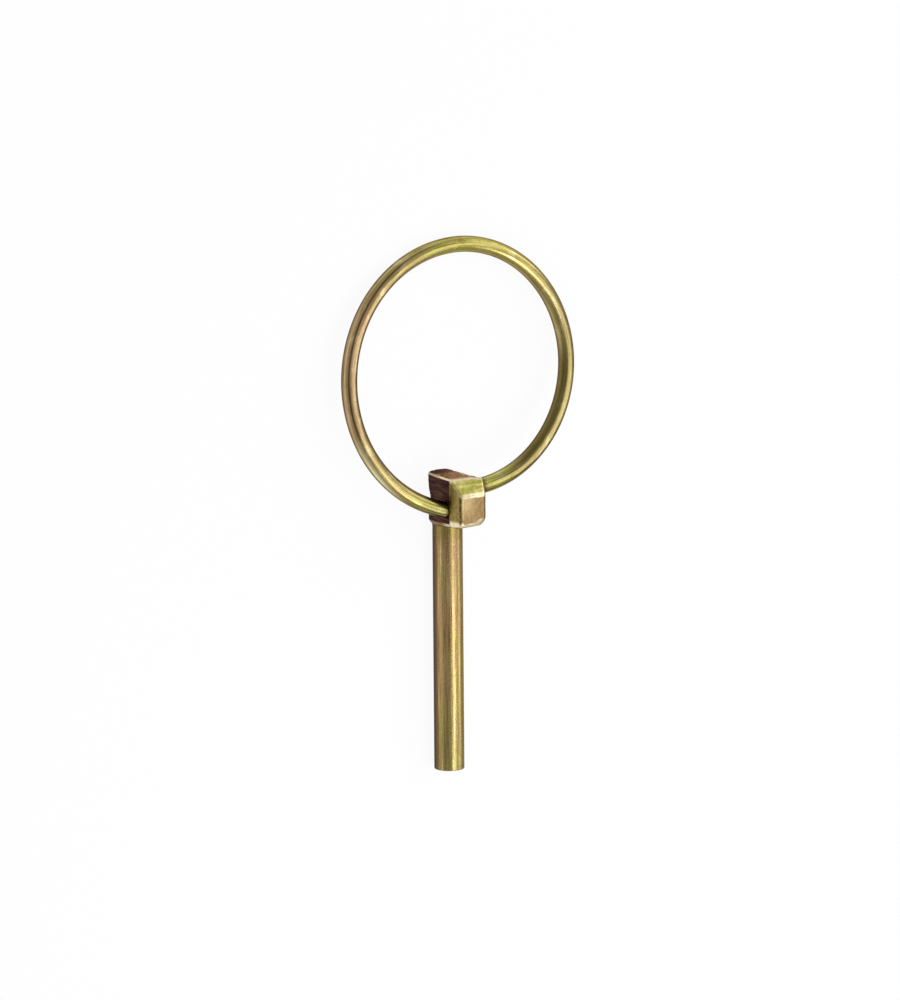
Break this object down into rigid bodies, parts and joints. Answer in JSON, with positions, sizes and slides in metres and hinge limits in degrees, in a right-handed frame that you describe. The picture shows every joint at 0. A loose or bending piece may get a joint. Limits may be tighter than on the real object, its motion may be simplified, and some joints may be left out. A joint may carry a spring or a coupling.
{
  "type": "lynch pin",
  "caption": "Lynch pin: a round shank under a forged beaked head, with a sprung wire ring hinged in the head's sides that flips over the beak.",
  "frame": {"origin": "on the shank's axis, at the head's underside", "axes": "-Y runs along the shank to its tip, +Z points the way the beak does, and X runs along the ring's hinge. The part lies on a floor at z = -3 mm."},
  "size_m": [0.0536, 0.1071, 0.0128],
  "materials": {
    "pin": "forged steel, zinc plated and yellow passivated, dark on the flats",
    "ring": "drawn spring wire, zinc plated and yellow passivated, with lengthwise streaks"
  },
  "bodies": {
    "pin": {"pin": "pin"},
    "ring": {"ring": "ring"}
  },
  "joints": [
    {"name": "ring_flip", "type": "hinge", "parent": "pin", "child": "ring", "pos_m": [0, 0.0076, 0.00462], "axis": [1, 0, 0], "range_deg": [-161, 187], "deforming": ["ring"]}
  ]
}
